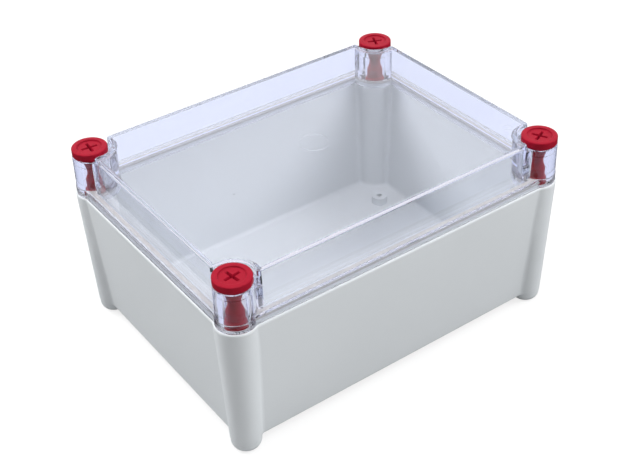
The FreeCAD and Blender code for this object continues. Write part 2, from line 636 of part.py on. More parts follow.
def make_screw(doc, name, along, across, turn):
    """Red moulded screw of one corner: dished head with a cross recess, waisted shank and thread.

    Its own origin is on its axis at the seat, where the head lies on the lid tower.
    """
    body = make_body(doc, name)
    end = "Dims.thread_start + Dims.thread_length"
    waist_end = "Dims.neck_length + Dims.waist_length"
    profile = add_sketch(body, "Profile", role="XZ_Plane")
    add_profile(profile, (
        ("0", "Dims.head_height - Dims.dish_depth"),
        ("0", f"-({end})"),
        ("Dims.thread_radius - Dims.thread_tip", f"-({end})"),
        ("Dims.thread_radius", f"-({end} - Dims.thread_tip)"),
        ("Dims.thread_radius", "-Dims.thread_start"),
        ("Dims.shank_radius", "-Dims.thread_start"),
        ("Dims.shank_radius", f"-({waist_end} + Dims.flare_length)"),
        ("Dims.waist_radius", f"-({waist_end})"),
        ("Dims.waist_radius", "-Dims.neck_length"),
        ("Dims.neck_radius", "0"),
        ("Dims.head_radius", "0"),
        ("Dims.head_radius", "Dims.head_height"),
        ("Dims.dish_radius", "Dims.head_height"),
        ("Dims.dish_radius - Dims.dish_bevel", "Dims.head_height - Dims.dish_depth"),
    ))
    turned = body.newObject("PartDesign::Revolution", "Turned")
    turned.Profile = profile
    turned.ReferenceAxis = (profile, ["V_Axis"])
    doc.recompute()
    top = evaluate(doc, "Dims.head_height")
    wide = evaluate(doc, "Dims.head_radius") - TOUCH
    waist = [evaluate(doc, level) for level in ("-Dims.neck_length", f"-({waist_end})")]
    foot = round_edges(body, "HeadFoot", turned, lambda edge: is_rim(edge, 0, wide),
                       "Dims.head_foot_rounding")
    head = round_edges(body, "HeadTop", foot, lambda edge: is_rim(edge, top, wide),
                       "Dims.head_top_rounding")
    round_edges(body, "Waist", head, lambda edge: any(is_level(edge, level) for level in waist),
                "Dims.waist_rounding")
    cut_cross(body)
    body.Placement = FreeCAD.Placement(FreeCAD.Vector(), FreeCAD.Rotation(FreeCAD.Vector(0, 0, 1), 1))
    body.setExpression("Placement.Base.x", f"{along} * Dims.screw_pitch_long / 2")
    body.setExpression("Placement.Base.y", f"{across} * Dims.screw_pitch_short / 2")
    body.setExpression("Placement.Base.z", SEAT_LEVEL)
    body.setExpression("Placement.Rotation.Angle", turn)
    return body


def is_rim(edge, level, radius):
    """Whether an edge lies at a level and at least a radius from the axis of its own body."""
    point = middle(edge)
    return is_level(edge, level) and math.hypot(point.x, point.y) > radius


def check(doc, bodies):
    """Stop if any object failed or any piece is not one valid solid."""
    for item in doc.Objects:
        if "Invalid" in item.State or "Error" in item.State:
            raise RuntimeError(f"{item.Name} failed: {item.getStatusString()}")
    for body in bodies:
        if body.Shape.isNull() or not body.Shape.isValid() or len(body.Shape.Solids) != 1:
            raise RuntimeError(f"{body.Label} is not one valid solid")


def main():
    """Build every piece, check it and write it."""
    doc = FreeCAD.newDocument("DistributionBox")
    make_sheet(doc)
    bodies = [make_base(doc), make_lid(doc), make_gasket(doc)]
    for name, along, across in SCREWS:
        bodies.append(make_screw(doc, f"lid_screw_{name}", along, across, f"Dims.{name}_turn"))
    doc.recompute()
    check(doc, bodies)
    os.makedirs("parts", exist_ok=True)
    for body in bodies:
        body.Shape.exportStep(f"parts/{body.Label}.step")
        print(body.Label, round(body.Shape.Volume), "mm3,", len(body.Shape.Faces), "faces")


main()
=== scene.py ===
"""Electrical distribution box: grey moulded base, clear lid and four red captive screws.

The box stands in a white studio. Lengths are in metres where a class doesn't say millimetres.
"""
import logging
import math
from dataclasses import dataclass
from enum import Enum

import bmesh
import bpy
from mathutils import Matrix, Vector


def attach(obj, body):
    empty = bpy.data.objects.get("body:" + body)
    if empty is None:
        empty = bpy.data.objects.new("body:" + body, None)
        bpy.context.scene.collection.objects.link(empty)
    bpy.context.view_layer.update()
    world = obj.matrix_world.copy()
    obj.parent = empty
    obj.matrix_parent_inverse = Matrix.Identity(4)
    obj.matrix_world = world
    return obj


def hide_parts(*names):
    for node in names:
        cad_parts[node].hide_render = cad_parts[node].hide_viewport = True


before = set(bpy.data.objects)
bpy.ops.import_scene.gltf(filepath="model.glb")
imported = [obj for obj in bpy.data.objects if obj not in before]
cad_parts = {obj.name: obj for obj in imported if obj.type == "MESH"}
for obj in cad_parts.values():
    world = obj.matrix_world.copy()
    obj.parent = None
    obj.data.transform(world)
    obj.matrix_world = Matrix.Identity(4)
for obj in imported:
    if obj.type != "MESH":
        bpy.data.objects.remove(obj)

Point2 = tuple[float, float]
Point3 = tuple[float, float, float]
Colour = tuple[float, float, float]
Socket = bpy.types.NodeSocket

LOG = logging.getLogger("distribution_box")
MM = 0.001
FULL_TURN = 2 * math.pi
SAME_DIRECTION = 1e-6
WHITE: Colour = (1.0, 1.0, 1.0)


class Corner(Enum):
    """The four corners of the box, as seen from the camera.

    Each holds its signs along X and Y, and the turn of the cross in its screw, in degrees.
    """

    FRONT = (-1, -1, 7.0)
    LEFT = (-1, 1, 85.0)
    RIGHT = (1, -1, 24.0)
    BACK = (1, 1, 67.0)

    @property
    def node(self) -> str:
        """Name of the CAD node, and of the body, of the screw in this corner."""
        return f"lid_screw_{self.name.lower()}"


@dataclass(frozen=True)
class Cloud:
    """Layers of a noise pattern, and how strong the fine ones are."""

    layers: float
    fineness: float = 0.5


@dataclass(frozen=True)
class Grain:
    """Grain of a moulded surface: pits and mottle per metre, and the pits' share of the height."""

    pit_scale: float
    mottle_scale: float
    pit_share: float


@dataclass(frozen=True)
class Dust:
    """Dust on a surface: how much lies there, and patches per metre."""

    amount: float
    scale: float


@dataclass(frozen=True)
class MouldMark:
    """Round mark of the mould, seen from above, and its share of the surface's relief."""

    x: float
    y: float
    radius: float
    width: float
    share: float


@dataclass(frozen=True)
class Relief:
    """Fine relief of a surface: how strongly it shows, and its depth."""

    strength: float
    depth: float


class ShaderBench:
    """Places shader nodes in one node tree and joins them."""

    COLUMN_WIDTH = 190
    ROW_HEIGHT = 160
    ROWS = 3
    COLOUR_LOW = 6
    COLOUR_HIGH = 7
    COLOUR_OUT = 2

    def __init__(self, tree: bpy.types.NodeTree) -> None:
        """Work on a tree.

        Args:
            tree: Node tree of a material, a world or a node group.
        """
        self.tree = tree
        self.column = 0

    def add(self, kind: str, values: dict | None = None, **settings: object) -> bpy.types.Node:
        """Place a node.

        Args:
            kind: Blender's type name of the node.
            values: Input sockets by name or number, each with a constant or an output to join.
            **settings: Attributes of the node itself.

        Returns:
            The new node.
        """
        node = self.tree.nodes.new(kind)
        row = self.column % self.ROWS
        node.location = (self.column * self.COLUMN_WIDTH, -row * self.ROW_HEIGHT)
        self.column += 1
        for name, value in settings.items():
            setattr(node, name, value)
        for key, value in (values or {}).items():
            self.feed(node.inputs[key], value)
        return node

    def feed(self, socket: Socket, value: object) -> None:
        """Set a socket to a constant, or join an output to it.

        Args:
            socket: Input socket.
            value: Constant, or output socket of another node. A colour may leave out its alpha.
        """
        if isinstance(value, Socket):
            self.tree.links.new(value, socket)
        elif socket.type == "RGBA" and len(value) == len(WHITE):
            socket.default_value = (*value, 1.0)
        else:
            socket.default_value = value

    def maths(self, operation: str, *terms: object, clamp: bool = False) -> Socket:
        """Place a Math node.

        Args:
            operation: Name of the operation, such as "MULTIPLY".
            *terms: Constants or outputs, in the order of the node's inputs.
            clamp: Whether the result is kept between 0 and 1.

        Returns:
            The node's output.
        """
        values = dict(enumerate(terms))
        return self.add("ShaderNodeMath", values, operation=operation, use_clamp=clamp).outputs[0]

    def noise(self, place: Socket, scale: float | Socket, cloud: Cloud) -> Socket:
        """Place a noise pattern.

        Args:
            place: Place that the pattern is read at.
            scale: How fine the pattern is.
            cloud: Its layers.

        Returns:
            The pattern, from 0 to 1.
        """
        values = {"Vector": place, "Scale": scale, "Detail": cloud.layers,
                  "Roughness": cloud.fineness}
        return self.add("ShaderNodeTexNoise", values).outputs["Fac"]

    def ramp(self, value: Socket, span: tuple, low: float = 0.0, high: float = 1.0,
             soft: bool = False) -> Socket:
        """Map a span of a value to another span.

        Args:
            value: Value to map.
            span: Start and end of the span, as constants or outputs.
            low: Result at the start.
            high: Result at the end.
            soft: Whether the result starts and ends gently.

        Returns:
            The mapped value.
        """
        values = {"Value": value, "From Min": span[0], "From Max": span[1],
                  "To Min": low, "To Max": high}
        kind = "SMOOTHSTEP" if soft else "LINEAR"
        node = self.add("ShaderNodeMapRange", values, interpolation_type=kind)
        return node.outputs["Result"]

    def two_tone(self, mask: Socket, low: Colour | Socket, high: Colour | Socket) -> Socket:
        """Mix two colours by a mask.

        Args:
            mask: Output between 0 and 1.
            low: Colour where the mask is 0.
            high: Colour where the mask is 1.

        Returns:
            The mixed colour.
        """
        values = {"Factor": mask, self.COLOUR_LOW: low, self.COLOUR_HIGH: high}
        return self.add("ShaderNodeMix", values, data_type="RGBA").outputs[self.COLOUR_OUT]

    def relief(self, height: Socket, relief: Relief) -> Socket:
        """Place a bump.

        Args:
            height: Height of the surface, from 0 to 1.
            relief: How strong and how deep it is.

        Returns:
            The normal of the surface.
        """
        values = {"Strength": relief.strength, "Distance": relief.depth, "Height": height}
        return self.add("ShaderNodeBump", values).outputs["Normal"]

    def blend(self, mask: Socket, low: Socket, high: Socket) -> Socket:
        """Mix two shaders by a mask."""
        return self.add("ShaderNodeMixShader", {0: mask, 1: low, 2: high}).outputs[0]

    def group(self, tree: bpy.types.NodeTree, values: dict) -> bpy.types.Node:
        """Place a shared node group.

        Args:
            tree: Tree of the group.
            values: Inputs of the group by name, with this material's own values.

        Returns:
            The node that holds the group.
        """
        node = self.add("ShaderNodeGroup", node_tree=tree)
        for key, value in values.items():
            self.feed(node.inputs[key], value)
        return node


class SharedEffects:
    """The surface effects that several finishes use, each built once as a node group."""

    PITS = Cloud(3.0, 0.6)
    MOTTLE = Cloud(4.0, 0.55)
    PATCHES = Cloud(5.0, 0.7)
    UPWARD_BLEND = 0.2

    def __init__(self) -> None:
        """Build the groups."""
        self.grain = self._build_grain()
        self.round_mark = self._build_round_mark()
        self.dust = self._build_dust()

    @staticmethod
    def _new_group(name: str, inputs: dict[str, float], outputs: tuple[str, ...]) -> ShaderBench:
        """Start a group that reads a place and some numbers, and puts out numbers.

        Args:
            name: Name of the group.
            inputs: Starting values of its numbers, by name.
            outputs: Names of its outputs.

        Returns:
            A bench for the group's tree.
        """
        tree = bpy.data.node_groups.new(name, "ShaderNodeTree")
        tree.interface.new_socket(name="Vector", in_out="INPUT", socket_type="NodeSocketVector")
        for label, value in inputs.items():
            socket = tree.interface.new_socket(name=label, in_out="INPUT",
                                               socket_type="NodeSocketFloat")
            socket.default_value = value
        for label in outputs:
            tree.interface.new_socket(name=label, in_out="OUTPUT", socket_type="NodeSocketFloat")
        return ShaderBench(tree)

    def _build_grain(self) -> bpy.types.NodeTree:
        """Grain of a moulded surface: fine spark-eroded pits over a broad unevenness.

        Returns:
            Group with the outputs Height and Mottle, both from 0 to 1.
        """
        bench = self._new_group("MouldGrain", {"Pit Scale": 2200.0, "Mottle Scale": 30.0,
                                               "Pit Share": 0.6}, ("Height", "Mottle"))
        entry = bench.add("NodeGroupInput").outputs
        pits = bench.noise(entry["Vector"], entry["Pit Scale"], self.PITS)
        mottle = bench.noise(entry["Vector"], entry["Mottle Scale"], self.MOTTLE)
        height = bench.add("ShaderNodeMix", {"Factor": entry["Pit Share"], "A": mottle,
                                             "B": pits}).outputs[0]
        bench.add("NodeGroupOutput", {"Height": height, "Mottle": mottle})
        return bench.tree

    def _build_round_mark(self) -> bpy.types.NodeTree:
        """Round mark that a mould leaves, as an ejector pin or a gate does.

        Returns:
            Group with the output Mask: 1 on the ring, 0 elsewhere.
        """
        bench = self._new_group("RoundMark", {"Centre X": 0.0, "Centre Y": 0.0, "Radius": 0.002,
                                              "Width": 0.0003}, ("Mask",))
        entry = bench.add("NodeGroupInput").outputs
        place = bench.add("ShaderNodeSeparateXYZ", {"Vector": entry["Vector"]}).outputs
        along = bench.maths("SUBTRACT", place["X"], entry["Centre X"])
        across = bench.maths("SUBTRACT", place["Y"], entry["Centre Y"])
        squares = bench.maths("ADD", bench.maths("MULTIPLY", along, along),
                              bench.maths("MULTIPLY", across, across))
        off = bench.maths("SUBTRACT", bench.maths("SQRT", squares), entry["Radius"])
        mask = bench.ramp(bench.maths("ABSOLUTE", off), (entry["Width"], 0.0), soft=True)
        bench.add("NodeGroupOutput", {"Mask": mask})
        return bench.tree

    def _build_dust(self) -> bpy.types.NodeTree:
        """Thin dust on faces that look up, broken into soft patches.

        Returns:
            Group with the output Mask: how much dust lies on a place.
        """
        bench = self._new_group("SettledDust", {"Amount": 0.2, "Scale": 60.0}, ("Mask",))
        entry = bench.add("NodeGroupInput").outputs
        normal = bench.add("ShaderNodeNewGeometry").outputs["Normal"]
        facing = bench.add("ShaderNodeSeparateXYZ", {"Vector": normal}).outputs["Z"]
        upward = bench.maths("SMOOTH_MAX", facing, 0.0, self.UPWARD_BLEND, clamp=True)
        patches = bench.noise(entry["Vector"], entry["Scale"], self.PATCHES)
        lying = bench.maths("MULTIPLY", bench.maths("MULTIPLY", upward, patches),
                            entry["Amount"], clamp=True)
        bench.add("NodeGroupOutput", {"Mask": lying})
        return bench.tree

    def lay_grain(self, bench: ShaderBench, place: Socket, grain: Grain) -> tuple[Socket, Socket]:
        """Lay the grain on a material.

        Args:
            bench: Bench of the material.
            place: Place in the frame of the box.
            grain: This finish's own grain.

        Returns:
            The height and the mottle, both from 0 to 1.
        """
        node = bench.group(self.grain, {"Vector": place, "Pit Scale": grain.pit_scale,
                                        "Mottle Scale": grain.mottle_scale,
                                        "Pit Share": grain.pit_share})
        return node.outputs["Height"], node.outputs["Mottle"]

    def lay_dust(self, bench: ShaderBench, place: Socket, dust: Dust) -> Socket:
        """Lay dust on a material, and give its mask."""
        return bench.group(self.dust, {"Vector": place, "Amount": dust.amount,
                                       "Scale": dust.scale}).outputs["Mask"]

    def lay_mark(self, bench: ShaderBench, place: Socket, mark: MouldMark) -> Socket:
        """Lay a mark of the mould on a material.

        Args:
            bench: Bench of the material.
            place: Place in the frame of the box.
            mark: Mark to lay.

        Returns:
            The mark's part of the height.
        """
        node = bench.group(self.round_mark, {"Vector": place, "Centre X": mark.x,
                                             "Centre Y": mark.y, "Radius": mark.radius,
                                             "Width": mark.width})
        return bench.maths("MULTIPLY", node.outputs["Mask"], mark.share)


class Finish:
    """A surface finish: starts a material and ends it with its surface shader."""

    name = "Finish"

    def start(self) -> tuple[bpy.types.Material, ShaderBench, Socket]:
        """Make an empty material.

        Returns:
            The material, a bench for its tree, and the place in the frame of the box, which the
            finish reads its pattern from.
        """
        material = bpy.data.materials.new(self.name)
        material.use_nodes = True
        material.node_tree.nodes.clear()
        bench = ShaderBench(material.node_tree)
        return material, bench, bench.add("ShaderNodeTexCoord").outputs["Object"]


@dataclass(frozen=True)
class GreyMoulding(Finish):
    """Light grey moulded plastic of the base: finely eroded, dull, faintly uneven in tone."""

    effects: SharedEffects
    tone_low: Colour = (0.560, 0.586, 0.604)
    tone_high: Colour = (0.588, 0.614, 0.633)
    dust_tone: Colour = (0.66, 0.65, 0.63)
    roughness: Point2 = (0.42, 0.52)
    refraction: float = 1.5
    grain: Grain = Grain(2600.0, 24.0, 0.7)
    dust: Dust = Dust(0.10, 90.0)
    pits: Relief = Relief(0.35, 0.00003)
    name = "GreyMoulding"

    def build(self) -> bpy.types.Material:
        """Make the material.

        Returns:
            Material for the base.
        """
        material, bench, place = self.start()
        height, mottle = self.effects.lay_grain(bench, place, self.grain)
        dust = self.effects.lay_dust(bench, place, self.dust)
        tone = bench.two_tone(mottle, self.tone_low, self.tone_high)
        surface = bench.add("ShaderNodeBsdfPrincipled", {
            "Base Color": bench.two_tone(dust, tone, self.dust_tone),
            "Roughness": bench.ramp(mottle, (0.0, 1.0), *self.roughness),
            "IOR": self.refraction,
            "Normal": bench.relief(height, self.pits)})
        bench.add("ShaderNodeOutputMaterial", {"Surface": surface.outputs[0]})
        return material


@dataclass(frozen=True)
class ClearMoulding(Finish):
    """Clear moulded plastic of the lid, faintly violet where it is thick, with its mould's marks.

    Lamps reach through it to what lies inside. A ray that was bent or mirrored more often than
    the turns allow goes straight on.
    """

    effects: SharedEffects
    refraction: float = 1.58
    tint_low: Colour = (0.976, 0.978, 0.988)
    tint_high: Colour = (0.984, 0.986, 0.994)
    thick_tint: Colour = (0.45, 0.50, 0.85)
    density: float = 16.0
    turns: float = 2.5
    shade: Colour = (0.985, 0.985, 1.0)
    roughness: Point2 = (0.0, 0.03)
    flow: Grain = Grain(400.0, 16.0, 0.12)
    flow_share: float = 0.10
    smears: Dust = Dust(0.12, 35.0)
    gate: MouldMark = MouldMark(-0.0529, -0.0134, 0.0003, 0.0006, 1.0)
    ejector: MouldMark = MouldMark(0.0788, -0.0469, 0.0021, 0.00035, 0.5)
    waves: Relief = Relief(0.5, 0.00012)
    name = "ClearMoulding"

    def build(self) -> bpy.types.Material:
        """Make the material.

        Returns:
            Material for the lid.
        """
        material, bench, place = self.start()
        flow, mottle = self.effects.lay_grain(bench, place, self.flow)
        smears = self.effects.lay_dust(bench, place, self.smears)
        marks = bench.maths("ADD", self.effects.lay_mark(bench, place, self.gate),
                            self.effects.lay_mark(bench, place, self.ejector))
        height = bench.maths("ADD", bench.maths("MULTIPLY", flow, self.flow_share), marks)
        surface = bench.add("ShaderNodeBsdfPrincipled", {
            "Base Color": bench.two_tone(mottle, self.tint_low, self.tint_high),
            "Roughness": bench.ramp(smears, (0.0, 1.0), *self.roughness),
            "IOR": self.refraction, "Transmission Weight": 1.0,
            "Normal": bench.relief(height, self.waves)}).outputs[0]
        straight = bench.add("ShaderNodeBsdfTransparent", {"Color": self.shade}).outputs[0]
        path = bench.add("ShaderNodeLightPath").outputs
        lit_through = bench.maths("MAXIMUM", path["Is Shadow Ray"], path["Is Diffuse Ray"])
        spent = bench.maths("GREATER_THAN", path["Glossy Depth"], self.turns)
        body = bench.add("ShaderNodeVolumeAbsorption", {"Color": self.thick_tint,
                                                        "Density": self.density}).outputs[0]
        bench.add("ShaderNodeOutputMaterial", {
            "Surface": bench.blend(bench.maths("MAXIMUM", lit_through, spent), surface, straight),
            "Volume": body})
        return material


@dataclass(frozen=True)
class RedMoulding(Finish):
    """Red moulded plastic of the screws, with a satin skin, and painted shade below the heads."""

    effects: SharedEffects
    tone_low: Colour = (0.240, 0.0030, 0.0145)
    tone_high: Colour = (0.285, 0.0045, 0.0190)
    # Painted shade: the shanks below the heads are darker, standing in for the shade inside the
    # lid's towers.
    painted_shade_tone: Colour = (0.22, 0.0020, 0.0070)
    painted_shade_levels: Point2 = (0.0905, 0.0915)
    dust_tone: Colour = (0.60, 0.42, 0.42)
    roughness: Point2 = (0.31, 0.41)
    refraction: float = 1.52
    gloss: float = 0.07
    grain: Grain = Grain(1600.0, 180.0, 0.5)
    dust: Dust = Dust(0.02, 300.0)
    skin: Relief = Relief(0.25, 0.00004)
    name = "RedMoulding"

    def build(self) -> bpy.types.Material:
        """Make the material.

        Returns:
            Material for the screws.
        """
        material, bench, place = self.start()
        height, mottle = self.effects.lay_grain(bench, place, self.grain)
        dust = self.effects.lay_dust(bench, place, self.dust)
        level = bench.add("ShaderNodeSeparateXYZ", {"Vector": place}).outputs["Z"]
        head_tone = bench.two_tone(mottle, self.tone_low, self.tone_high)
        # Painted shade: below the seat of the heads the red turns to the darker shank colour,
        # which stands in for shade.
        tone = bench.two_tone(bench.ramp(level, self.painted_shade_levels), self.painted_shade_tone, head_tone)
        surface = bench.add("ShaderNodeBsdfPrincipled", {
            "Base Color": bench.two_tone(dust, tone, self.dust_tone),
            "Roughness": bench.ramp(mottle, (0.0, 1.0), *self.roughness),
            "IOR": self.refraction, "Specular IOR Level": self.gloss,
            "Normal": bench.relief(height, self.skin)})
        bench.add("ShaderNodeOutputMaterial", {"Surface": surface.outputs[0]})
        return material


@dataclass(frozen=True)
class SealFoam(Finish):
    """Pale grey foamed seal with a closed, slightly cellular skin."""

    effects: SharedEffects
    tone_low: Colour = (0.36, 0.35, 0.335)
    tone_high: Colour = (0.43, 0.42, 0.40)
    roughness: Point2 = (0.75, 0.95)
    cell_scale: float = 1500.0
    grain: Grain = Grain(900.0, 120.0, 0.4)
    cells: Relief = Relief(0.6, 0.0001)
    name = "SealFoam"

    def build(self) -> bpy.types.Material:
        """Make the material.

        Returns:
            Material for the seal.
        """
        material, bench, place = self.start()
        height, mottle = self.effects.lay_grain(bench, place, self.grain)
        cells = bench.add("ShaderNodeTexVoronoi", {"Vector": place,
                                                   "Scale": self.cell_scale}).outputs["Distance"]
        surface = bench.add("ShaderNodeBsdfPrincipled", {
            "Base Color": bench.two_tone(mottle, self.tone_low, self.tone_high),
            "Roughness": bench.ramp(cells, (0.0, 1.0), *self.roughness),
            "Normal": bench.relief(bench.maths("ADD", cells, height), self.cells)})
        bench.add("ShaderNodeOutputMaterial", {"Surface": surface.outputs[0]})
        return material


@dataclass(frozen=True)
class StudioFloor(Finish):
    """White paper floor: shows near white, with a soft shadow under the box.

    Mirrored it is faint. Seen through the lid it is slightly violet, and far out on its near side
    it carries painted shade, standing in for floor that the lamps don't light.
    """

    paper: float = 0.50
    paper_spread: float = 0.01
    fibre: Cloud = Cloud(4.0)
    fibre_scale: float = 40.0
    shown_share: float = 0.20
    glow: float = 0.78
    mirrored: float = 0.07
    refracted: float = 0.60
    through_tone: Colour = (0.83, 0.87, 1.0)
    through_share: Colour = (0.10, 0.11, 0.17)
    near_side: Point3 = (-0.5702, -0.8215, 0.0)
    # Painted shade: how far out on the near side the floor, seen through the lid, turns dim.
    painted_shade_reach: Point2 = (0.14, 0.24)
    name = "StudioFloor"

    def build(self) -> bpy.types.Material:
        """Make the material.

        Returns:
            Material for the floor.
        """
        material, bench, place = self.start()
        path = bench.add("ShaderNodeLightPath").outputs
        refracted = path["Is Transmission Ray"]
        fibre = bench.noise(place, self.fibre_scale, self.fibre)
        tone = bench.two_tone(fibre, (self.paper - self.paper_spread,) * 3,
                              (self.paper + self.paper_spread,) * 3)
        lit = bench.add("ShaderNodeBsdfDiffuse", {"Color": tone}).outputs[0]
        pale_tone = bench.two_tone(refracted, (self.shown_share,) * 3, self.through_share)
        pale = bench.add("ShaderNodeBsdfDiffuse", {"Color": pale_tone}).outputs[0]
        glow_tone = bench.two_tone(refracted, WHITE, self.through_tone)
        glow = bench.add("ShaderNodeEmission", {"Color": glow_tone,
                                                "Strength": self.glow}).outputs[0]
        shown = bench.add("ShaderNodeAddShader", {0: pale, 1: glow}).outputs[0]
        # Painted shade: seen through the lid, the floor far out on the near side is dimmed,
        # standing in for floor that the lamps don't light.
        reach = bench.add("ShaderNodeVectorMath", {0: place, 1: self.near_side},
                          operation="DOT_PRODUCT").outputs["Value"]
        in_painted_shade = bench.ramp(reach, self.painted_shade_reach, soft=True)
        through = bench.maths("MULTIPLY", refracted, in_painted_shade)
        mirrored = bench.maths("MULTIPLY", path["Is Glossy Ray"], path["Is Reflection Ray"])
        faint = bench.maths("ADD", self.mirrored,
                            bench.maths("MULTIPLY", through, self.refracted))
        dim = bench.add("ShaderNodeEmission", {"Strength": faint}).outputs[0]
        seen = bench.maths("MAXIMUM", path["Is Camera Ray"], refracted)
        surface = bench.blend(bench.maths("MAXIMUM", mirrored, through),
                              bench.blend(seen, lit, shown), dim)
        bench.add("ShaderNodeOutputMaterial", {"Surface": surface})
        return material


class Mesher:
    """Mesh helpers that the pieces share."""

    @staticmethod
    def rounded(corners: list[Point3], steps: int = 6) -> list[Point2]:
        """Replace each corner of an open line by an arc.

        Args:
            corners: Corners, each (first, second, rounding radius).
            steps: Parts of each arc.

        Returns:
            Points of the rounded line.
        """
        points: list[Point2] = []
        for i, (x, y, radius) in enumerate(corners):
            here = Vector((x, y))
            if radius <= 0 or i in (0, len(corners) - 1):
                points.append((x, y))
                continue
            before = (Vector(corners[i - 1][:2]) - here).normalized()
            after = (Vector(corners[i + 1][:2]) - here).normalized()
            half = before.angle(after) / 2
            reach = radius / math.tan(half)
            centre = here + (before + after).normalized() * (radius / math.sin(half))
            start, end = here + before * reach - centre, here + after * reach - centre
            turns = start.angle(end) > SAME_DIRECTION
            for k in range(steps + 1):
                arm = start.slerp(end, k / steps) if turns else start
                points.append(tuple(centre + arm.normalized() * radius))
        return points

    @staticmethod
    def around(count: int) -> list[float]:
        """Angles of evenly spaced points round an axis."""
        return [FULL_TURN * k / count for k in range(count)]

    @staticmethod
    def skin(name: str, rings: list[list[Vector]], closed: bool, caps: bool) -> bpy.types.Object:
        """Join rings of points into a surface.

        Args:
            name: Name of the object.
            rings: Rings with the same number of points each.
            closed: Whether the last ring joins the first.
            caps: Whether the first and last rings are closed by a fan.

        Returns:
            The new object, linked to the scene.
        """
        size = len(rings[0])
        points = [point for ring in rings for point in ring]
        faces = []
        for i in range(len(rings) if closed else len(rings) - 1):
            low, high = i * size, (i + 1) % len(rings) * size
            for k in range(size):
                after = (k + 1) % size
                faces.append((low + k, low + after, high + after, high + k))
        if caps:
            for ring, flip in ((0, True), (len(rings) - 1, False)):
                middle = sum(rings[ring], Vector()) / size
                points.append(middle)
                for k in range(size):
                    a, b = ring * size + k, ring * size + (k + 1) % size
                    faces.append((b, a, len(points) - 1) if flip else (a, b, len(points) - 1))
        mesh = bpy.data.meshes.new(name)
        mesh.from_pydata(points, [], faces)
        shell = bmesh.new()
        shell.from_mesh(mesh)
        bmesh.ops.recalc_face_normals(shell, faces=shell.faces)
        shell.to_mesh(mesh)
        shell.free()
        piece = bpy.data.objects.new(name, mesh)
        bpy.context.scene.collection.objects.link(piece)
        return piece

    @staticmethod
    def smooth(piece: bpy.types.Object, angle: float) -> None:
        """Shade a mesh smooth but for its edges above an angle.

        Args:
            piece: Object with a mesh.
            angle: Least angle of a sharp edge, in degrees.
        """
        mesh = piece.data
        mesh.polygons.foreach_set("use_smooth", [True] * len(mesh.polygons))
        mesh.set_sharp_from_angle(angle=math.radians(angle))

    @staticmethod
    def dress(piece: bpy.types.Object, material: bpy.types.Material) -> None:
        """Give every face of a piece one material."""
        piece.data.materials.clear()
        piece.data.materials.append(material)

    @staticmethod
    def apply_modifiers(piece: bpy.types.Object) -> None:
        """Replace a piece's mesh by what its modifiers make of it.

        Args:
            piece: Object with a mesh and modifiers.
        """
        graph = bpy.context.evaluated_depsgraph_get()
        made = bpy.data.meshes.new_from_object(piece.evaluated_get(graph))
        piece.modifiers.clear()
        piece.data = made


@dataclass(frozen=True)
class ScrewThread:
    """Round-flanked thread of a captive screw, in millimetres below the seat of its head."""

    start: float = 16.6
    length: float = 14.6
    radius: float = 5.1
    depth: float = 0.85
    pitch: float = 2.9
    crest_rise: float = 1.75
    flank_slope: float = 5.0
    fade_length: float = 0.8
    tip_depth: float = 1.6
    tip_slope: float = 0.9
    tip_thread_share: float = 0.55
    ring_count: int = 64

    @property
    def core_radius(self) -> float:
        """Radius at the root of the thread."""
        return self.radius - self.depth

    def ring(self, level: float, segments: int) -> list[Vector]:
        """One ring of the threaded length.

        Args:
            level: Level of the ring.
            segments: Points of the ring.

        Returns:
            Points round the axis, out on the crest and in at the root of the thread.
        """
        depth_down = -self.start - level
        left = self.length - depth_down
        fade = min(1.0, depth_down / self.fade_length, max(0.0, left / self.fade_length))
        core = min(self.core_radius, self.radius - self.tip_depth + left * self.tip_slope)
        crest = min(self.radius, core + self.tip_depth * self.tip_thread_share)
        points = []
        for angle in Mesher.around(segments):
            phase = (level / self.pitch - angle / FULL_TURN) % 1.0
            rise = min(1.0, max(0.0, self.crest_rise - self.flank_slope * abs(phase - 0.5)))
            radius = core + (crest - core) * rise * rise * (3 - 2 * rise) * fade
            points.append(Vector((radius * math.cos(angle), radius * math.sin(angle), level)))
        return points

    def rings(self, segments: int) -> list[list[Vector]]:
        """Every ring of the threaded length, from its start to the tip."""
        steps = (self.length * (k + 1) / self.ring_count for k in range(self.ring_count))
        return [self.ring(-self.start - step, segments) for step in steps]


@dataclass(frozen=True)
class CrossRecess:
    """Tapered cross recess of a screw's head, with a bevelled mouth, in millimetres."""

    span: float = 7.8
    width: float = 1.3
    depth: float = 3.0
    taper: float = 0.55
    clearance: float = 0.6
    bevel_width: float = 0.3
    bevel_rise: float = 0.02
    bevel_depth: float = 0.12
    bevel_foot: float = 0.08

    def cutters(self, name: str, mouth: float) -> list[bpy.types.Object]:
        """Make the two arms of the cross.

        Args:
            name: Name that the arms' own names start with.
            mouth: Level of the mouth.

        Returns:
            Objects to cut with, still in millimetres.
        """
        levels = ((mouth + self.clearance, self.bevel_width, 1.0),
                  (mouth + self.bevel_rise, self.bevel_width, 1.0),
                  (mouth - self.bevel_depth, self.bevel_foot, 1.0),
                  (mouth - self.depth, 0.0, self.taper))
        arms = []
        for length, width in ((self.span, self.width), (self.width, self.span)):
            rings = []
            for level, grow, scale in levels:
                x, y = (length * scale + grow) / 2, (width * scale + grow) / 2
                rings.append([Vector((sx * x, sy * y, level))
                              for sx, sy in ((1, 1), (-1, 1), (-1, -1), (1, -1))])
            arms.append(Mesher.skin(f"{name}_arm", rings, closed=False, caps=True))
        return arms


